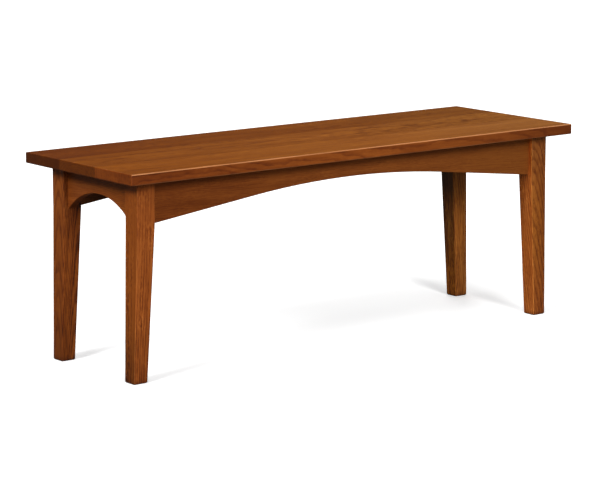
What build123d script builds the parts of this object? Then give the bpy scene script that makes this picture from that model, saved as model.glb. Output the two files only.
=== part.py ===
"""A backless oak bench: a plank seat on four tapered legs, joined by arched aprons.

Millimetres, +Z up, X along the bench. The origin is on the floor, under the middle of the seat.
"""

from build123d import *
import os

os.makedirs("parts", exist_ok=True)

# Seat
seat_length = 1220
seat_width = 400
seat_thickness = 23.5
seat_edge_radius = 2.5
bench_height = 448
end_overhang = 41
side_overhang = 41

# Legs: tapered below the aprons. The feet stand out at the bench's ends, and in on its long sides
leg_width = 44
foot_width = 34
foot_end_splay = 9
foot_side_inset = 5.5
leg_edge_radius = 1.5
foot_chamfer = 2

# Aprons and their arches
apron_height = 93
apron_thickness = 19
apron_setback = 11
long_arch_rise = 48
end_arch_rise = 46.5
arch_edge_radius = 1.5
long_arch_bend_share = 0.5

# Tenons on the aprons, in mortises in the legs
tenon_thickness = 8
tenon_top_shoulder = 15
tenon_bottom_shoulder = 10
tenon_meeting_gap = 1.5
mortise_end_gap = 1

# Corner blocks
block_thickness = 22
block_height = 40
block_leg_gap = 1.5
block_seat_gap = 1.5
block_under_head = 9
block_screw_height_shares = (0.25, 0.75)

# Buttons that hold the seat to the aprons
button_length = 26
button_width = 28
button_thickness = 18
button_gap = 1
tongue_drop = 10
tongue_thickness = 6
tongue_reach = 7
slot_side_gap = 3
slot_end_gap = 1
slot_lower_gap = 1
button_spacing_share = 0.36

# Pan-head wood screws
screw_radius = 2
screw_tip = 3
screw_head_radius = 4
screw_head_height = 2.6
screw_head_rim = 1
screw_drive_width = 2.4
screw_drive_depth = 1.6
screw_grip_share = 0.6
bore_clearance = 0.2
bore_end_gap = 1
recess_clearance = 0.6
button_recess_depth = 4

# How far a cut, or the root of a tenon, runs past its face
overrun = 1

# Heights
seat_underside = bench_height - seat_thickness
apron_low = seat_underside - apron_height
long_arch_crown = apron_low + long_arch_rise
end_arch_crown = apron_low + end_arch_rise

# Places of the faces, measured from the middle of the bench
leg_outer_x = seat_length / 2 - end_overhang
leg_outer_y = seat_width / 2 - side_overhang
leg_inner_x = leg_outer_x - leg_width
leg_inner_y = leg_outer_y - leg_width
apron_outer_x = leg_outer_x - apron_setback
apron_outer_y = leg_outer_y - apron_setback
apron_inner_x = apron_outer_x - apron_thickness
apron_inner_y = apron_outer_y - apron_thickness

# Tenons: those of the two aprons almost meet inside each leg
tenon_x = apron_outer_x - apron_thickness / 2
tenon_y = apron_outer_y - apron_thickness / 2
tenon_height = apron_height - tenon_top_shoulder - tenon_bottom_shoulder
tenon_z = apron_low + tenon_bottom_shoulder + tenon_height / 2
tenon_length = tenon_x - leg_inner_x - tenon_thickness / 2 - tenon_meeting_gap
mortise_depth = tenon_length + mortise_end_gap

left_right = {"left": -1, "right": 1}
front_back = {"front": -1, "back": 1}

# Each button has a plane at the foot of the seat, on the inner face of its apron, with X outwards
button_step = button_spacing_share * 2 * leg_inner_x
button_planes = {}
for row_name, y_side in front_back.items():
    for column, place in enumerate(("left", "middle", "right"), start=-1):
        button_planes[f"seat_button_{row_name}_{place}"] = Plane(
            origin=(column * button_step, y_side * apron_inner_y, seat_underside),
            x_dir=(0, y_side, 0),
            z_dir=(0, 0, 1),
        )
for end_name, x_side in left_right.items():
    button_planes[f"seat_button_{end_name}_end"] = Plane(
        origin=(x_side * apron_inner_x, 0, seat_underside), x_dir=(x_side, 0, 0), z_dir=(0, 0, 1)
    )

# Each button screw has a plane under its head, with Z out of the head
button_screw_out = button_gap + button_length / 2
button_screw_planes = [
    Plane(
        origin=plane.from_local_coords((-button_screw_out, 0, button_recess_depth - button_thickness)),
        x_dir=plane.x_dir,
        z_dir=(0, 0, -1),
    )
    for plane in button_planes.values()
]
button_screw_length = button_thickness - button_recess_depth + screw_grip_share * seat_thickness

# A corner block crosses its corner past the leg, at 45 degrees
leg_nose = leg_width - apron_setback - apron_thickness
block_near = 2 * leg_nose + block_leg_gap
block_far = block_near + block_thickness * 2**0.5
block_top = seat_underside - block_seat_gap
block_screw_out = (block_near + block_far) / 2
block_screw_heights = [block_top - share * block_height for share in block_screw_height_shares]
block_screw_length = block_under_head + screw_grip_share * apron_thickness


def long_block_screw_planes(y_side):
    """The planes under the heads of the screws that go into one long apron."""
    return [
        Plane(
            origin=(x_side * (apron_inner_x - block_screw_out), y_side * (apron_inner_y - block_under_head), z),
            z_dir=(0, -y_side, 0),
        )
        for x_side in left_right.values()
        for z in block_screw_heights
    ]


def end_block_screw_planes(x_side):
    """The planes under the heads of the screws that go into one end apron."""
    return [
        Plane(
            origin=(x_side * (apron_inner_x - block_under_head), y_side * (apron_inner_y - block_screw_out), z),
            z_dir=(-x_side, 0, 0),
        )
        for y_side in front_back.values()
        for z in block_screw_heights
    ]


def screw_bore(planes, length):
    """Cuts the round holes that hold screws of this length, from the planes under their heads."""
    with Locations(*planes):
        Cylinder(
            screw_radius + bore_clearance,
            length + bore_end_gap,
            align=(Align.CENTER, Align.CENTER, Align.MAX),
            mode=Mode.SUBTRACT,
        )


def head_recess(planes, depth):
    """Cuts the round recesses over the screw heads, from the planes under the heads."""
    with Locations(*planes):
        Cylinder(
            screw_head_radius + recess_clearance,
            depth,
            align=(Align.CENTER, Align.CENTER, Align.MIN),
            mode=Mode.SUBTRACT,
        )


def write_piece(part, name):
    """Labels a finished piece and writes it."""
    part.label = name
    export_step(part, f"parts/{name}.step")


# Seat boards, edge-glued, eased along every edge that isn't a glue joint
board_names = ["seat_board_front", "seat_board_middle", "seat_board_back"]
board_width = seat_width / len(board_names)
for index, board_name in enumerate(board_names):
    board_y = (index + 0.5) * board_width - seat_width / 2
    with BuildPart() as board:
        with BuildSketch(Plane.XY.offset(seat_underside)):
            with Locations((0, board_y)):
                Rectangle(seat_length, board_width)
        extrude(amount=seat_thickness)
        sides = board.faces().sort_by(Axis.Y)
        eased = board.edges()
        if board_name != board_names[0]:
            eased = eased - sides[0].edges()
        if board_name != board_names[-1]:
            eased = eased - sides[-1].edges()
        fillet(eased, seat_edge_radius)
        screw_bore(button_screw_planes, button_screw_length)
    write_piece(board.part, board_name)

# Legs, lofted through square sections with rounded corners
leg_centre_x = leg_outer_x - leg_width / 2
leg_centre_y = leg_outer_y - leg_width / 2
foot_centre_x = leg_outer_x + foot_end_splay - foot_width / 2
foot_centre_y = leg_outer_y - foot_side_inset - foot_width / 2
leg_sections = [
    (0, foot_width - 2 * foot_chamfer, foot_centre_x, foot_centre_y),
    (foot_chamfer, foot_width, foot_centre_x, foot_centre_y),
    (apron_low, leg_width, leg_centre_x, leg_centre_y),
    (seat_underside, leg_width, leg_centre_x, leg_centre_y),
]
for row_name, y_side in front_back.items():
    for end_name, x_side in left_right.items():
        with BuildPart() as leg:
            for height, width, centre_x, centre_y in leg_sections:
                with BuildSketch(Plane.XY.offset(height)):
                    with Locations((x_side * centre_x, y_side * centre_y)):
                        RectangleRounded(width, width, leg_edge_radius)
            loft(ruled=True)
            mortise_x = leg_inner_x + (mortise_depth - overrun) / 2
            with Locations((x_side * mortise_x, y_side * tenon_y, tenon_z)):
                Box(mortise_depth + overrun, tenon_thickness, tenon_height, mode=Mode.SUBTRACT)
            mortise_y = leg_inner_y + (mortise_depth - overrun) / 2
            with Locations((x_side * tenon_x, y_side * mortise_y, tenon_z)):
                Box(tenon_thickness, mortise_depth + overrun, tenon_height, mode=Mode.SUBTRACT)
        write_piece(leg.part, f"leg_{row_name}_{end_name}")


def ease_arch(apron, across):
    """Rounds the two long edges of an arch, which run square to the direction across the apron."""
    soffit = apron.faces().filter_by(lambda face: face.normal_at().Z < -0.5)
    fillet(soffit.edges().filter_by(across, reverse=True), arch_edge_radius)


def button_slots(names):
    """Cuts the slots that take the tongues of these buttons."""
    slot_height = tongue_thickness + slot_lower_gap
    slot_depth = tongue_reach + slot_end_gap
    for name in names:
        with BuildSketch(button_planes[name].offset(-tongue_drop)) as slot:
            with Locations((-overrun, 0)):
                Rectangle(
                    slot_depth + overrun,
                    button_width + 2 * slot_side_gap,
                    align=(Align.MIN, Align.CENTER),
                )
        extrude(slot.sketch, amount=-slot_height, mode=Mode.SUBTRACT)


# Long aprons: straight runs that rise from the legs into a flat curve
arch_bend_x = long_arch_bend_share * leg_inner_x
arch_slope = long_arch_rise / (leg_inner_x - arch_bend_x / 2)
arch_bend_z = long_arch_crown - arch_slope * arch_bend_x / 2
for row_name, y_side in front_back.items():
    with BuildPart() as long_apron:
        with BuildSketch(Plane.XZ.offset(-y_side * apron_outer_y)):
            with BuildLine():
                Polyline(
                    (-arch_bend_x, arch_bend_z),
                    (-leg_inner_x, apron_low),
                    (-leg_inner_x, seat_underside),
                    (leg_inner_x, seat_underside),
                    (leg_inner_x, apron_low),
                    (arch_bend_x, arch_bend_z),
                )
                ThreePointArc((arch_bend_x, arch_bend_z), (0, long_arch_crown), (-arch_bend_x, arch_bend_z))
            make_face()
        extrude(amount=y_side * apron_thickness)
        ease_arch(long_apron, Axis.Y)
        tenon_out = leg_inner_x + (tenon_length - overrun) / 2
        with Locations(*[(x_side * tenon_out, y_side * tenon_y, tenon_z) for x_side in left_right.values()]):
            Box(tenon_length + overrun, tenon_thickness, tenon_height)
        button_slots([name for name in button_planes if row_name in name])
        screw_bore(long_block_screw_planes(y_side), block_screw_length)
    write_piece(long_apron.part, f"apron_{row_name}")

# End aprons: one deep arc from leg to leg
for end_name, x_side in left_right.items():
    with BuildPart() as end_apron:
        with BuildSketch(Plane.YZ.offset(x_side * apron_outer_x)):
            with BuildLine():
                Polyline(
                    (-leg_inner_y, apron_low),
                    (-leg_inner_y, seat_underside),
                    (leg_inner_y, seat_underside),
                    (leg_inner_y, apron_low),
                )
                ThreePointArc((leg_inner_y, apron_low), (0, end_arch_crown), (-leg_inner_y, apron_low))
            make_face()
        extrude(amount=-x_side * apron_thickness)
        ease_arch(end_apron, Axis.X)
        tenon_out = leg_inner_y + (tenon_length - overrun) / 2
        with Locations(*[(x_side * tenon_x, y_side * tenon_out, tenon_z) for y_side in front_back.values()]):
            Box(tenon_thickness, tenon_length + overrun, tenon_height)
        button_slots([f"seat_button_{end_name}_end"])
        screw_bore(end_block_screw_planes(x_side), block_screw_length)
    write_piece(end_apron.part, f"apron_{end_name}")

# Corner blocks: their mitred ends lie on the aprons
recess_length = block_far
for row_name, y_side in front_back.items():
    for end_name, x_side in left_right.items():
        with BuildPart() as block:
            with BuildSketch(Plane.XY.offset(block_top)):
                with BuildLine():
                    Polyline(
                        *[
                            (x_side * (apron_inner_x - inward_x), y_side * (apron_inner_y - inward_y))
                            for inward_x, inward_y in [
                                (0, block_near),
                                (0, block_far),
                                (block_far, 0),
                                (block_near, 0),
                            ]
                        ],
                        close=True,
                    )
                make_face()
            extrude(amount=-block_height)
            for planes in (long_block_screw_planes(y_side), end_block_screw_planes(x_side)):
                screw_bore(planes, block_screw_length)
                head_recess(planes, recess_length)
        write_piece(block.part, f"corner_block_{row_name}_{end_name}")

# Seat buttons: a body under the seat and a tongue in the apron's slot
for button_name, plane in button_planes.items():
    with BuildPart() as button:
        with BuildSketch(plane):
            with Locations((-button_gap, 0)):
                Rectangle(button_length, button_width, align=(Align.MAX, Align.CENTER))
        extrude(amount=-button_thickness)
        with BuildSketch(plane.offset(-tongue_drop)):
            with Locations((tongue_reach, 0)):
                Rectangle(
                    tongue_reach + button_gap + overrun,
                    button_width,
                    align=(Align.MAX, Align.CENTER),
                )
        extrude(amount=-tongue_thickness)
        screw_bore(button_screw_planes, button_screw_length)
        head_recess(button_screw_planes, button_recess_depth + overrun)
    write_piece(button.part, button_name)


def write_screws(planes, length, name):
    """Writes one node of like screws, with their heads on these planes."""
    with BuildPart() as screw:
        with BuildSketch(Plane.XZ):
            with BuildLine():
                Polyline(
                    (0, screw_head_height),
                    (0, -length),
                    (screw_radius, screw_tip - length),
                    (screw_radius, 0),
                    (screw_head_radius, 0),
                    (screw_head_radius, screw_head_rim),
                )
                TangentArc((0, screw_head_height), (screw_head_radius, screw_head_rim), tangent=(1, 0))
            make_face()
        revolve(axis=Axis.Z)
        with Locations((0, 0, screw_head_height)):
            Box(screw_drive_width, screw_drive_width, 2 * screw_drive_depth, mode=Mode.SUBTRACT)
    with BuildPart() as screws:
        with Locations(*planes):
            add(screw.part)
    write_piece(screws.part, name)


write_screws(button_screw_planes, button_screw_length, "seat_button_screws")
block_screw_planes = [plane for side in front_back.values() for plane in long_block_screw_planes(side)]
block_screw_planes += [plane for side in left_right.values() for plane in end_block_screw_planes(side)]
write_screws(block_screw_planes, block_screw_length, "corner_block_screws")
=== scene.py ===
"""The looks of a backless oak bench: stained oak under satin lacquer, paler inner wood and zinc screws.

Metres, in the part's frame: +Z up, X along the bench and the origin on the floor.
"""

import math
from dataclasses import dataclass, field

import bpy
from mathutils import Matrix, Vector


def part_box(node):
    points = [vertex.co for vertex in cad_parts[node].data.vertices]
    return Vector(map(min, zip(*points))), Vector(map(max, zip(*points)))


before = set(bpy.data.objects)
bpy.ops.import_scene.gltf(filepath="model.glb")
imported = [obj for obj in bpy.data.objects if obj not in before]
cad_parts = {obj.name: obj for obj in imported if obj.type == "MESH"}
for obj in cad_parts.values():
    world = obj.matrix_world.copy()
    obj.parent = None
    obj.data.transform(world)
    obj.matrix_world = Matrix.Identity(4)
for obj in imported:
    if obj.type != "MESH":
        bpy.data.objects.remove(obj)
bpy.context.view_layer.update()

MM = 0.001


def screen(red, green, blue):
    """A colour as a screen shows it, 0 to 255, in the linear values that shaders take."""
    shares = [value / 255 for value in (red, green, blue)]
    return (*[s / 12.92 if s <= 0.04045 else ((s + 0.055) / 1.055) ** 2.4 for s in shares], 1.0)


def tint(change):
    """A multiplier for a colour, from one share or from three."""
    shares = change if isinstance(change, tuple) else (change, change, change)
    return (*shares, 1.0)


class Graph:
    """Adds nodes to a tree. Each method after feed gives what its new node puts out."""

    def __init__(self, tree):
        self.tree = tree

    def node(self, kind, inputs=None, **settings):
        made = self.tree.nodes.new(kind)
        for name, value in settings.items():
            setattr(made, name, value)
        for socket, value in (inputs or {}).items():
            self.feed(made.inputs[socket], value)
        return made

    def feed(self, socket, value):
        if isinstance(value, bpy.types.NodeSocket):
            self.tree.links.new(value, socket)
        else:
            socket.default_value = value

    def coordinate(self, name):
        return self.node("ShaderNodeTexCoord").outputs[name]

    def math(self, operation, *values):
        return self.node("ShaderNodeMath", dict(enumerate(values)), operation=operation).outputs[0]

    def vector(self, operation, *values):
        node = self.node("ShaderNodeVectorMath", dict(enumerate(values)), operation=operation)
        return node.outputs["Value" if operation in ("LENGTH", "DOT_PRODUCT") else "Vector"]

    def split(self, vector):
        return self.node("ShaderNodeSeparateXYZ", {0: vector}).outputs[:]

    def join(self, x, y, z):
        return self.node("ShaderNodeCombineXYZ", {0: x, 1: y, 2: z}).outputs[0]

    def ease(self, value, low, high, at_low=0.0, at_high=1.0):
        """Runs smoothly from at_low to at_high while the value runs from low to high."""
        inputs = {"Value": value, "From Min": low, "From Max": high, "To Min": at_low, "To Max": at_high}
        return self.node("ShaderNodeMapRange", inputs, interpolation_type="SMOOTHSTEP").outputs[0]

    def noise(self, point, lumps, detail=0.0, output="Fac"):
        """Noise from 0 to 1 whose lumps have these sizes along the point's axes."""
        counts = tuple(1 / size for size in lumps)
        stretched = self.vector("MULTIPLY", point, counts)
        inputs = {"Vector": stretched, "Scale": 1.0, "Detail": detail}
        return self.node("ShaderNodeTexNoise", inputs).outputs[output]

    def mix(self, share, first, second, blend="MIX"):
        inputs = {"Factor": share, 6: first, 7: second}
        return self.node("ShaderNodeMix", inputs, data_type="RGBA", blend_type=blend).outputs[2]

    def ramp(self, value, stops):
        """A colour for the value, from stops of place and colour."""
        node = self.node("ShaderNodeValToRGB", {0: value})
        elements = node.color_ramp.elements
        while len(elements) < len(stops):
            elements.new(1.0)
        for element, (place, colour) in zip(elements, stops):
            element.position = place
            element.color = colour
        return node.outputs[0]


def blank_material(name):
    """A new material, its node tree and its Principled shader."""
    material = bpy.data.materials.new(name)
    material.use_nodes = True
    return material, material.node_tree, material.node_tree.nodes["Principled BSDF"]


# How far each unit of a board's seed moves its noises
SEED_SHIFT = (0.37, 0.71, 0.53)

# The oak's figure. Lumps have their sizes along the log and across it
RING_BEND = 0.036
RING_BEND_LUMPS = (0.30, 0.12, 0.12)
RING_WAVER = 0.006
RING_WAVER_LUMPS = (0.045, 0.014, 0.014)
LOG_TAPER = 0.022
STREAK_LUMPS = (0.11, 0.009, 0.009)
FIBRE_LUMPS = (0.050, 0.0026, 0.0026)
FLECK_LUMPS = (0.009, 0.0034, 0.0034)
FLECK_PATCH_LUMPS = (0.10, 0.025, 0.025)
FLECK_PATCH_EDGE = (0.42, 0.62)
BLOTCH_LUMPS = (0.30, 0.07, 0.07)

# Rings drift by up to this many ring widths. The lumps run out from the heart, with the seed and
# along the log
RING_DRIFT = 3.0
RING_DRIFT_LUMPS = (0.030, 1.0, 1.0)
ZONE_LUMPS = (0.014, 1.0, 0.5)

# Shares of a ring over which its early wood sets in and dies out
EARLY_START = (0.0, 0.10)
EARLY_END = (0.20, 0.60)

# Pores crowd in the early wood. An edge is where a noise turns into a pore, a dash or a ray
LATE_WOOD_PORES = 0.20
PORE_LUMPS = (0.016, 0.0006, 0.0006)
PORE_EDGE = (0.54, 0.64)
DASH_LUMPS = (0.022, 0.0022, 0.0022)
DASH_EDGE = (0.44, 0.60)

# Rays' lumps run along the log, out from its heart and round it, the last in radians
RAY_LUMPS = (0.012, 0.018, 0.010)
RAY_EDGE = (0.56, 0.68)

FIGURE_INPUTS = {
    "Point": "NodeSocketVector",
    "Coarseness": "NodeSocketVector",
    "Seed": "NodeSocketFloat",
    "Ring width": "NodeSocketFloat",
    "Bend": "NodeSocketFloat",
}
FIGURE_OUTPUTS = ("Early", "Pores", "Dashes", "Rays", "Zones", "Streaks", "Fibres", "Flecks", "Blotches")


def wander(graph, place, lumps, reach, detail):
    """A random offset across the log, at most half the reach each way."""
    offset = graph.noise(place, lumps, detail, "Color")
    offset = graph.vector("SUBTRACT", offset, (0.5, 0.5, 0.5))
    return graph.vector("MULTIPLY", offset, (0, reach, reach))


def bent_point(graph, point, place, bend):
    """The point, moved so that the rings bend slowly along the log and waver a little."""
    slow = wander(graph, place, RING_BEND_LUMPS, RING_BEND, 1.0)
    quick = wander(graph, place, RING_WAVER_LUMPS, RING_WAVER, 2.0)
    sway = graph.vector("MULTIPLY", graph.vector("ADD", slow, quick), graph.join(bend, bend, bend))
    return graph.vector("ADD", point, sway)


def ring_figure(graph, point, seed, ring_width):
    """The early wood of each year's ring, zones of paler and darker rings, and the rays."""
    along, across, up = graph.split(point)
    radius = graph.vector("LENGTH", graph.join(0.0, across, up))

    # The log tapers, so that a flat-sawn face shows arches
    cone = graph.math("MULTIPLY_ADD", along, LOG_TAPER, radius)
    drift = graph.noise(graph.join(cone, seed, 0.0), RING_DRIFT_LUMPS, 1.0)
    rings = graph.math("MULTIPLY_ADD", drift, RING_DRIFT, graph.math("DIVIDE", cone, ring_width))
    ring = graph.math("FRACT", rings)
    early = graph.math("MULTIPLY", graph.ease(ring, *EARLY_START), graph.ease(ring, *EARLY_END, 1.0, 0.0))
    zones = graph.noise(graph.join(cone, seed, along), ZONE_LUMPS, 2.0)

    # Rays are thin sheets that run out from the heart
    angle = graph.math("ARCTAN2", up, across)
    sheets = graph.noise(graph.join(along, radius, angle), RAY_LUMPS, 1.0)
    return {
        "Early": early,
        "Zones": zones,
        "Rays": graph.ease(sheets, *RAY_EDGE),
    }


def pore_figure(graph, place, early):
    """Pores, long thin vessels that are mostly in the early wood, and the dashes that they run into."""
    crowd = graph.math("MULTIPLY_ADD", early, 1.0 - LATE_WOOD_PORES, LATE_WOOD_PORES)
    vessels = graph.noise(place, PORE_LUMPS, 1.0)
    bundles = graph.noise(place, DASH_LUMPS, 2.0)
    return {
        "Pores": graph.math("MULTIPLY", graph.ease(vessels, *PORE_EDGE), crowd),
        "Dashes": graph.math("MULTIPLY", graph.ease(bundles, *DASH_EDGE), crowd),
    }


def cloud_figure(graph, place, coarseness):
    """Streaks, fibres, flecks that crowd together in patches, and wide blotches."""
    wide = graph.vector("DIVIDE", place, coarseness)
    patches = graph.ease(graph.noise(wide, FLECK_PATCH_LUMPS, 1.0), *FLECK_PATCH_EDGE)
    flecks = graph.math("SUBTRACT", graph.noise(wide, FLECK_LUMPS, 2.0), 0.5)
    return {
        "Streaks": graph.noise(wide, STREAK_LUMPS, 3.0),
        "Fibres": graph.noise(wide, FIBRE_LUMPS, 2.0),
        "Flecks": graph.math("MULTIPLY_ADD", flecks, patches, 0.5),
        "Blotches": graph.noise(place, BLOTCH_LUMPS, 2.0),
    }


def make_figure():
    """Oak's figure at a point of a log whose heart is the X axis, as a node group."""
    tree = bpy.data.node_groups.new("oak_figure", "ShaderNodeTree")
    for name, kind in FIGURE_INPUTS.items():
        tree.interface.new_socket(name, in_out="INPUT", socket_type=kind)
    for name in FIGURE_OUTPUTS:
        tree.interface.new_socket(name, in_out="OUTPUT", socket_type="NodeSocketFloat")
    graph = Graph(tree)
    given = graph.node("NodeGroupInput").outputs
    seed = given["Seed"]
    shift = graph.vector("MULTIPLY", graph.join(seed, seed, seed), SEED_SHIFT)
    place = graph.vector("ADD", given["Point"], shift)
    point = bent_point(graph, given["Point"], place, given["Bend"])
    found = ring_figure(graph, point, seed, given["Ring width"])
    found.update(pore_figure(graph, place, found["Early"]))
    found.update(cloud_figure(graph, place, given["Coarseness"]))
    graph.node("NodeGroupOutput", found)
    return tree


oak_figure = make_figure()

# Grain axis, and the order of the axes that brings it first
AXIS_ORDERS = {"X": (0, 1, 2), "Y": (1, 2, 0), "Z": (2, 0, 1)}

# Wood from darkest to lightest, and how much each part of the figure lightens it
OAK_STOPS = [
    (0.00, screen(52, 20, 5)),
    (0.25, screen(92, 41, 11)),
    (0.50, screen(132, 69, 22)),
    (0.75, screen(164, 94, 36)),
    (1.00, screen(192, 122, 56)),
]
OAK_MIDDLE = 0.60
FIGURE_WEIGHTS = {"Early": -0.13, "Pores": -0.14, "Dashes": -0.22, "Rays": 0.08}
CLOUD_WEIGHTS = {"Zones": 0.55, "Streaks": 0.65, "Fibres": 0.40, "Flecks": 0.60, "Blotches": 0.25}

# Share of the figure that end grain loses
END_CALM = 0.25

# Colours that multiply the wood's, some painted shade, and edge colours, abraded and painted highlight
END_GRAIN = (0.57, 0.50, 0.24, 1.0)
PALE_END = (1.24, 1.30, 0.96, 1.0)
# Leg ends, darker than end grain alone: partly painted shade on the foot's chamfer
FOOT_GRAIN_AND_SHADE = (0.30, 0.26, 0.26, 1.0)
# A darker band at the legs' lower end
FOOT_DARKENING = (0.62, 0.58, 0.60, 1.0)
# Painted shade on a leg's left side under the seat
SHADED = (0.45, 0.50, 0.77, 1.0)
# Paler seat edges: abraded finish and painted highlight
RUBBED_AND_HIGHLIT = screen(210, 146, 96)
# Golden leg arrises: painted highlight, partly abraded finish
GOLDEN_HIGHLIGHT = screen(206, 132, 58)

# How squarely the surface faces a way when it begins to count as that face, end or edge, and when it does
FACE_TURN = (0.7, 0.98)
END_TURN = (0.4, 0.68)
EDGE_TURN = (0.80, 0.96)

# Paler edges, abraded and painted highlight: uneven by blotches, split by fibres, less pale facing down
RUB_HIGHLIGHT_BLOTCHES = (0.35, 0.60)
RUB_HIGHLIGHT_FIBRES = (0.42, 0.58)
LEAST_RUB_HIGHLIGHT = 0.5
LOWER_TURN = (-0.4, -0.1)
LOWER_RUB_HIGHLIGHT = 0.35

# Satin lacquer, duller in the pores and on the undersides
LACQUER = 0.38
PORE_DULLNESS = 0.18
BLOTCH_DULLNESS = 0.10
UNDER_TURN = (-0.9, -0.1)
UNDER_DULLNESS = 0.4
LACQUER_SHINE = 0.15

# Relief of the open grain
RELIEF_DEPTH = 0.12 * MM
RELIEF_STRENGTH = 0.3
EARLY_RELIEF = -0.4


@dataclass
class Board:
    """How a board is cut from its log and tinted, with paler edges and painted light, shade and
    highlights. Lengths are in mm.
    """

    grain: str  # the axis that the grain runs along
    heart: tuple  # where the log's heart lies across the grain, from the board's middle
    rings: float  # how wide a year's ring is
    seed: float
    lean: tuple = (0, 0)  # how fast the heart runs away from the board along the grain
    turn: float = 0  # how many degrees the board is turned about Z from its grain's axis
    bend: float = 1.0  # how much the rings sway
    coarseness: tuple = (1, 1)  # of streaks, fibres and flecks, along and across the grain
    figure: float = 1.0  # how strong rings, pores and rays are
    clouds: float = 1.0  # how strong everything else is
    strengths: dict = field(default_factory=dict)  # how strong single parts of the figure are
    contrast: tuple = (1, 1)  # how strong all of it is at the two ends of the grain
    pale: tuple = (0, 0, 0)  # how fast the wood turns paler along each axis, per metre
    tints: tuple = (1.0,)  # multipliers for the colour, spread evenly along the grain
    face: str = ""  # "top", or "sides", another cut of the log; that face's own tints are partly painted light and shade
    face_tints: tuple = ()  # take the place of the tints on that face
    face_contrast: float = 1.0  # how much stronger the figure is on that face
    shade: tuple = ()  # heights over which the left side turns dark: painted shade under the seat
    end_tint: tuple = END_GRAIN  # multiplier for the ends, on the legs partly painted shade
    foot: float = 0  # height of the darker lower end
    rub_highlight_way: tuple = (0, 1, 1)  # the way that the paler edges face
    rub_highlight: float = 0.0  # how far they turn to their paler colour
    # the paler edges' colour: abraded finish and painted highlight
    rub_highlight_colour: tuple = RUBBED_AND_HIGHLIT
    broken: float = 0.0  # how uneven that is


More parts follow.
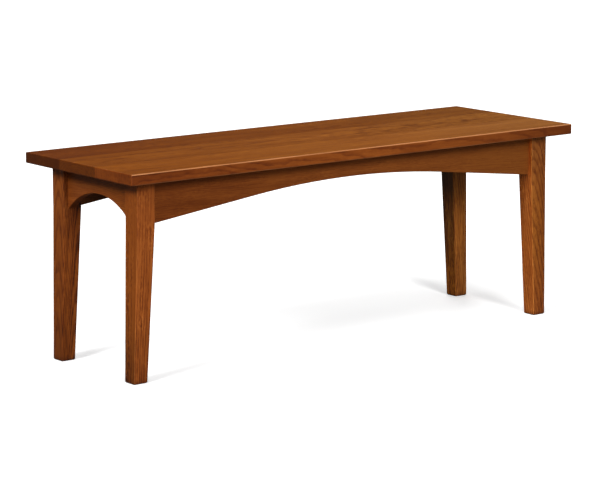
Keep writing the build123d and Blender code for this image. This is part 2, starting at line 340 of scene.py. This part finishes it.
class Oak(Graph):
    """The nodes of one board's wood."""

    def __init__(self, tree, piece, board):
        super().__init__(tree)
        self.board = board
        low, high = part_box(piece)
        order = AXIS_ORDERS[board.grain]
        self.half = (high[order[0]] - low[order[0]]) / 2
        self.place = self.vector("SUBTRACT", self.coordinate("Object"), tuple((low + high) / 2))
        turn = {"Vector": self.place, "Angle": math.radians(board.turn)}
        turned = self.node("ShaderNodeVectorRotate", turn, rotation_type="Z_AXIS").outputs[0]
        axes = self.split(turned)
        self.along = axes[order[0]]
        self.found = self.figure_at(self.join(*[axes[index] for index in order]))

        self.normal = self.coordinate("Normal")
        self.right, _, self.up = self.split(self.normal)
        self.sides = self.split(self.vector("ABSOLUTE", self.normal))
        self.end = self.ease(self.sides[order[0]], *END_TURN)
        if board.face:
            self.facing = self.ease({"top": self.up, "sides": self.sides[0]}[board.face], *FACE_TURN)

    def figure_at(self, point):
        """The figure where the board's point lies in the log."""
        board = self.board
        slope = self.vector("MULTIPLY", self.join(self.along, self.along, self.along), (0, *board.lean))
        point = self.vector("ADD", point, slope)
        point = self.vector("SUBTRACT", point, (0, board.heart[0] * MM, board.heart[1] * MM))
        along, across = board.coarseness
        inputs = {
            "Point": point,
            "Coarseness": (along, across, across),
            "Seed": board.seed,
            "Ring width": board.rings * MM,
            "Bend": board.bend,
        }
        group = self.node("ShaderNodeGroup", node_tree=oak_figure)
        for name, value in inputs.items():
            self.feed(group.inputs[name], value)
        return group.outputs

    def tone(self):
        """How much lighter the wood is here than its middle tone, with a calmer figure on end grain."""
        board = self.board
        tone = 0.0
        for name, weight in FIGURE_WEIGHTS.items():
            weight *= board.figure * board.strengths.get(name, 1.0)
            tone = self.math("MULTIPLY_ADD", self.found[name], weight, tone)
        for name, weight in CLOUD_WEIGHTS.items():
            weight *= board.clouds * board.strengths.get(name, 1.0)
            tone = self.math("MULTIPLY_ADD", self.math("SUBTRACT", self.found[name], 0.5), weight, tone)
        tone = self.math("MULTIPLY", tone, self.ease(self.along, -self.half, self.half, *board.contrast))
        tone = self.math("MULTIPLY", tone, self.math("MULTIPLY_ADD", self.end, -END_CALM, 1.0))
        if board.face:
            stronger = self.math("MULTIPLY_ADD", self.facing, board.face_contrast - 1.0, 1.0)
            tone = self.math("MULTIPLY", tone, stronger)
        return self.math("ADD", self.vector("DOT_PRODUCT", self.place, board.pale), tone)

    def through(self, tints):
        """A multiplier that runs through the tints from one end of the grain to the other."""
        step = 2 * self.half / max(len(tints) - 1, 1)
        change = tint(tints[0])
        for index, later in enumerate(tints[1:]):
            start = index * step - self.half
            change = self.mix(self.ease(self.along, start, start + step), change, tint(later))
        return change

    def face_change(self):
        """The multiplier for the face that has its own tints, with painted shade on the left side where
        the board has one.
        """
        change = self.through(self.board.face_tints)
        if self.board.shade:
            from_height, to_height = [height * MM - self.half for height in self.board.shade]
            left_start, left_end = FACE_TURN
            left = self.ease(self.right, -left_end, -left_start, 1.0, 0.0)
            shaded = self.math("MULTIPLY", self.ease(self.along, from_height, to_height), left)
            change = self.mix(shaded, change, SHADED, "MULTIPLY")
        return change

    def colour(self):
        """The stained wood's colour, with its tints, some of which are painted light and shade, its ends
        and its darker foot.
        """
        board = self.board
        change = self.through(board.tints)
        if board.face:
            change = self.mix(self.facing, change, self.face_change())
        colour = self.ramp(self.math("ADD", self.tone(), OAK_MIDDLE), OAK_STOPS)
        colour = self.mix(1.0, colour, change, "MULTIPLY")
        if board.foot:
            foot_darkening_share = self.ease(self.along, -self.half, board.foot * MM - self.half, 1.0, 0.0)
            colour = self.mix(foot_darkening_share, colour, FOOT_DARKENING, "MULTIPLY")
        return self.mix(self.end, colour, board.end_tint, "MULTIPLY")

    def rub_and_highlight_edges(self, colour):
        """The colour, with the eased edges paler: abraded finish and a painted highlight."""
        board = self.board
        way = tuple(Vector(board.rub_highlight_way).normalized())
        edge = self.ease(self.vector("DOT_PRODUCT", self.join(*self.sides), way), *EDGE_TURN)
        rub_highlight_share = self.ease(self.found["Blotches"], *RUB_HIGHLIGHT_BLOTCHES, LEAST_RUB_HIGHLIGHT * board.rub_highlight, board.rub_highlight)
        rub_highlight_share = self.math("MULTIPLY", rub_highlight_share, self.ease(self.up, *LOWER_TURN, LOWER_RUB_HIGHLIGHT, 1.0))
        whole = self.ease(self.found["Fibres"], *RUB_HIGHLIGHT_FIBRES, 1.0 - board.broken, 1.0)
        rub_highlight_share = self.math("MULTIPLY", rub_highlight_share, whole)
        return self.mix(self.math("MULTIPLY", edge, rub_highlight_share), colour, board.rub_highlight_colour)

    def roughness(self):
        roughness = self.math("MULTIPLY_ADD", self.found["Pores"], PORE_DULLNESS, LACQUER)
        roughness = self.math("MULTIPLY_ADD", self.found["Blotches"], BLOTCH_DULLNESS, roughness)
        return self.math("ADD", self.ease(self.up, *UNDER_TURN, UNDER_DULLNESS, 0.0), roughness)

    def relief(self):
        """A normal that sinks at pores and early wood, and follows the fibres."""
        height = self.math("MULTIPLY_ADD", self.found["Pores"], -1.0, self.found["Fibres"])
        height = self.math("MULTIPLY_ADD", self.found["Early"], EARLY_RELIEF, height)
        inputs = {"Height": height, "Strength": RELIEF_STRENGTH, "Distance": RELIEF_DEPTH}
        return self.node("ShaderNodeBump", inputs).outputs[0]


def stained_oak(piece, board):
    """The material of one board."""
    material, tree, shader = blank_material("oak_" + piece)
    oak = Oak(tree, piece, board)
    oak.feed(shader.inputs["Base Color"], oak.rub_and_highlight_edges(oak.colour()))
    oak.feed(shader.inputs["Roughness"], oak.roughness())
    oak.feed(shader.inputs["Normal"], oak.relief())
    shader.inputs["Specular IOR Level"].default_value = LACQUER_SHINE
    return material


# Zinc plating: where its clouds are at their dullest and brightest, and how rough it is there
ZINC_LUMPS = (2 * MM, 2 * MM, 2 * MM)
ZINC_STOPS = [(0.3, screen(168, 168, 162)), (0.7, screen(204, 204, 200))]
ZINC_ROUGHNESS = (0.42, 0.26)


def zinc_steel():
    """Zinc-plated steel, a little uneven in its shine."""
    material, tree, shader = blank_material("zinc_steel")
    graph = Graph(tree)
    cloud = graph.noise(graph.coordinate("Object"), ZINC_LUMPS, 3.0)
    (dull, _), (bright, _) = ZINC_STOPS
    graph.feed(shader.inputs["Base Color"], graph.ramp(cloud, ZINC_STOPS))
    graph.feed(shader.inputs["Roughness"], graph.ease(cloud, dull, bright, *ZINC_ROUGHNESS))
    shader.inputs["Metallic"].default_value = 1.0
    return material


def dress(piece, material):
    """Gives a CAD piece its material."""
    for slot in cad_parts[piece].material_slots:
        slot.material = material


# What the boards of the seat, the legs, the aprons and the inner pieces have in common
SEAT = {
    "grain": "X",
    "coarseness": (2.2, 2.6),
    "figure": 0.6,
    "clouds": 0.55,
    # Tops turn paler and bluer to the right, a painted sheen, and darken front to back, partly painted
    # light
    "face": "top",
    # Paler top edges: abraded finish and painted highlight
    "rub_highlight": 0.8,
}
LEG = {
    "grain": "Z",
    "face": "sides",
    # The legs' ends darkened beyond end grain: partly painted shade on the foot's chamfer
    "end_tint": FOOT_GRAIN_AND_SHADE,
    "foot": 14,
    # Paler arrises: a golden painted highlight, partly abraded finish
    "rub_highlight_way": (1, 1, 0),
    "rub_highlight_colour": GOLDEN_HIGHLIGHT,
}
APRON = {"figure": 0.35, "clouds": 0.4}
INNER = {"heart": (30, 50), "rings": 3.5, "tints": (1.2,)}

boards = {
    "seat_board_front": Board(
        heart=(-170, -30),
        rings=5.0,
        seed=1.3,
        strengths={"Zones": 0.5, "Dashes": 0.4},
        contrast=(1.35, 1.15),
        tints=((0.50, 0.37, 0.33), (0.80, 0.71, 0.66), (0.46, 0.36, 0.30)),
        face_tints=((0.85, 0.81, 0.24), (0.94, 1.00, 0.70), (0.98, 1.23, 1.42)),
        face_contrast=0.75,
        end_tint=PALE_END,
        **SEAT,
    ),
    "seat_board_middle": Board(
        heart=(4, -55),
        rings=5.5,
        seed=4.1,
        strengths={"Zones": 0.8, "Flecks": 2.2, "Dashes": 1.3},
        contrast=(0.85, 0.9),
        tints=((0.71, 0.65, 0.30),),
        face_tints=((0.74, 0.69, 0.20), (0.86, 0.89, 0.55), (0.90, 1.09, 0.91)),
        **SEAT,
    ),
    "seat_board_back": Board(
        heart=(90, -60),
        rings=5.0,
        seed=7.7,
        strengths={"Flecks": 2.0, "Dashes": 1.2},
        contrast=(0.85, 0.85),
        tints=((0.44, 0.37, 0.03),),
        face_tints=((0.52, 0.41, 0.08), (0.70, 0.66, 0.27), (0.69, 0.76, 0.48)),
        **SEAT,
    ),
    "leg_front_left": Board(
        heart=(60, 35),
        rings=5.0,
        seed=2.9,
        bend=0.25,
        figure=0.7,
        strengths={"Zones": 0.4, "Flecks": 2.2, "Streaks": 0.5},
        contrast=(1.6, 0.55),
        pale=(1, 0, 0),
        tints=((0.76, 0.66, 0.68), (0.95, 0.86, 0.93), (0.90, 0.80, 0.90)),
        # The sides darken towards the foot: painted shade
        face_tints=((0.46, 0.39, 0.22), (0.84, 0.73, 0.50), (0.94, 0.82, 0.62)),
        face_contrast=0.6,
        rub_highlight=0.2,
        broken=0.8,
        **LEG,
    ),
    "leg_front_right": Board(
        heart=(-40, 64),
        rings=5.2,
        seed=5.3,
        lean=(0, -0.13),
        bend=0.6,
        strengths={"Zones": 0.4, "Streaks": 0.5, "Dashes": 0.7},
        pale=(-6, -1.5, 0),
        tints=((0.73, 0.66, 0.67), (0.80, 0.81, 0.69), (0.71, 0.71, 0.83)),
        # The sides are much lighter near the top: painted light
        face_tints=((1.14, 1.05, 1.12), (1.23, 1.09, 1.11), (2.20, 1.85, 1.90)),
        rub_highlight=0.9,
        broken=0.8,
        **LEG,
    ),
    "leg_back_left": Board(
        heart=(16, 0),
        rings=3.2,
        seed=8.2,
        lean=(-0.055, 0),
        bend=0.35,
        strengths={"Early": 1.3, "Zones": 0.5, "Flecks": 0.7, "Streaks": 0.6},
        contrast=(1.2, 1.2),
        tints=((0.58, 0.51, 0.45), (0.70, 0.61, 0.55), (0.76, 0.69, 0.78)),
        # The sides darken towards the foot: painted shade
        face_tints=((0.51, 0.43, 0.23), (0.70, 0.61, 0.42), (0.90, 0.81, 0.72)),
        face_contrast=0.55,
        **LEG,
    ),
    "leg_back_right": Board(
        heart=(-40, 30),
        rings=4.2,
        seed=9.9,
        pale=(0, -4, 0),
        # Painted shade darkens the top of the front and back; painted light brightens the sides towards
        # the foot
        tints=((0.78, 0.86, 0.92), (0.95, 1.04, 1.00), (0.40, 0.46, 0.50)),
        face_tints=((1.75, 1.85, 1.35), (0.95, 1.08, 0.98), (1.05, 1.25, 1.05)),
        face_contrast=1.3,
        shade=(225, 275),
        **LEG,
    ),
    "apron_front": Board(
        grain="X",
        heart=(100, -160),
        rings=3.0,
        seed=3.4,
        contrast=(1.3, 0.75),
        tints=((0.59, 0.49, 0.43), (0.76, 0.72, 0.73), (0.69, 0.69, 0.63)),
        **APRON,
    ),
    "apron_back": Board(grain="X", heart=(-80, -120), rings=3.2, seed=6.6, tints=(0.65,), **APRON),
    "apron_left": Board(
        grain="Y",
        heart=(-110, 80),
        rings=3.2,
        seed=11.5,
        contrast=(1.4, 1.4),
        tints=((0.99, 0.89, 0.64), (0.79, 0.69, 0.71)),
        **APRON,
    ),
    "apron_right": Board(grain="Y", heart=(-120, -70), rings=3.2, seed=12.1, tints=(0.66,), **APRON),
}
for corner, turn in {"front_left": 45, "front_right": -45, "back_left": -45, "back_right": 45}.items():
    boards["corner_block_" + corner] = Board(grain="X", seed=13.0, turn=turn, **INNER)
for row in ("front", "back"):
    for column in ("left", "middle", "right"):
        boards[f"seat_button_{row}_{column}"] = Board(grain="Y", seed=15.0, **INNER)
for bench_end in ("left", "right"):
    boards[f"seat_button_{bench_end}_end"] = Board(grain="X", seed=17.0, **INNER)

for piece, board in boards.items():
    dress(piece, stained_oak(piece, board))
screw_steel = zinc_steel()
for screws in ("corner_block_screws", "seat_button_screws"):
    dress(screws, screw_steel)

# The stage. Rises are how steeply a way looks up, from 0 at the horizon to 1 overhead
FLOOR_SIZE = 80
FLOOR_ROUGHNESS = 0.9
FLOOR_SEEN = screen(250, 250, 250)
FLOOR_TO_LIGHT = screen(84, 82, 80)
FLOOR_IN_GLOSS = 0.08
FLOOR_GLOW = 0.28
GLOSS_RISE = (0.40, 1.00)
LIGHT_RISE = (0.1, 0.9)
LAMP_DISTANCE = 3


def make_floor():
    """A pale floor that keeps the shadow, and looks darker to light that bounces off it."""
    bpy.ops.mesh.primitive_plane_add(size=FLOOR_SIZE)
    floor = bpy.context.object
    floor.name = "floor"
    material, tree, shader = blank_material("floor")
    graph = Graph(tree)
    path = graph.node("ShaderNodeLightPath").outputs
    mirrored = graph.math("MULTIPLY", path["Is Glossy Ray"], FLOOR_IN_GLOSS)
    seen = graph.math("MAXIMUM", path["Is Camera Ray"], mirrored)
    seen = graph.math("MAXIMUM", seen, path["Is Transmission Ray"])
    graph.feed(shader.inputs["Base Color"], graph.mix(seen, FLOOR_TO_LIGHT, FLOOR_SEEN))
    graph.feed(shader.inputs["Emission Strength"], graph.math("MULTIPLY", seen, FLOOR_GLOW))
    shader.inputs["Emission Color"].default_value = (1, 1, 1, 1)
    shader.inputs["Specular IOR Level"].default_value = 0.0
    shader.inputs["Roughness"].default_value = FLOOR_ROUGHNESS
    floor.data.materials.append(material)


def make_world(overhead, walls, horizon_gloss):
    """White to the camera. To light and to gloss the studio is bright overhead, with dim walls."""
    world = bpy.data.worlds.new("studio")
    bpy.context.scene.world = world
    world.use_nodes = True
    graph = Graph(world.node_tree)
    path = graph.node("ShaderNodeLightPath").outputs
    height = graph.split(graph.coordinate("Generated"))[2]
    ceiling = graph.ease(height, *GLOSS_RISE, horizon_gloss, 1.0)
    dome = graph.ease(height, *LIGHT_RISE, walls, overhead)
    seen = graph.math("MAXIMUM", path["Is Camera Ray"], path["Is Transmission Ray"])
    mirrored = graph.math("MULTIPLY", path["Is Glossy Ray"], ceiling)
    scattered = graph.math("MULTIPLY", path["Is Diffuse Ray"], dome)
    strength = graph.math("MAXIMUM", graph.math("MAXIMUM", seen, mirrored), scattered)
    background = world.node_tree.nodes["Background"]
    background.inputs["Color"].default_value = (1, 1, 1, 1)
    graph.feed(background.inputs["Strength"], strength)


def place_object(name, data, location, way):
    """A new lamp or camera in the scene, which looks from the given way towards the bench."""
    placed = bpy.data.objects.new(name, data)
    bpy.context.scene.collection.objects.link(placed)
    placed.location = location
    placed.rotation_mode = "QUATERNION"
    placed.rotation_quaternion = way.to_track_quat("Z", "Y")
    return placed


def direction(turn, rise):
    """A unit vector from degrees turned from the front towards the left, and degrees above the floor."""
    turn, rise = math.radians(turn), math.radians(rise)
    return Vector((-math.sin(turn) * math.cos(rise), -math.cos(turn) * math.cos(rise), math.sin(rise)))


def make_lamp(name, turn, rise, light, spread):
    """A broad soft lamp far away, in the given direction."""
    lamp = bpy.data.lights.new(name, "SUN")
    lamp.energy = light * math.pi
    lamp.angle = math.radians(spread)
    way = direction(turn, rise)
    return place_object(name, lamp, way * LAMP_DISTANCE, way)


def make_camera(aim, distance, turn, rise, lens_mm, sensor_mm):
    """The scene's camera, which looks at the aim from the given direction."""
    camera = bpy.data.cameras.new("camera")
    camera.lens = lens_mm
    camera.sensor_width = sensor_mm
    way = direction(turn, rise)
    bpy.context.scene.camera = place_object("camera", camera, aim + way * distance, way)


make_floor()
make_world(overhead=0.62, walls=0.02, horizon_gloss=0.01)
make_lamp("front_lamp", turn=12, rise=24, light=0.62, spread=16)
make_lamp("low_lamp", turn=15, rise=8, light=0.17, spread=20)
make_lamp("left_lamp", turn=75, rise=33, light=0.70, spread=16)
make_lamp("back_lamp", turn=210, rise=42, light=0.22, spread=30).visible_glossy = False

# The camera aims at a point in front of the bench's left half, as the photograph's does
camera_aim = Vector((-0.3675, -0.4400, 0.3025))
make_camera(camera_aim, distance=5.264, turn=37.957, rise=10.657, lens_mm=157.47, sensor_mm=36.0)
bpy.context.scene.view_settings.view_transform = "Standard"
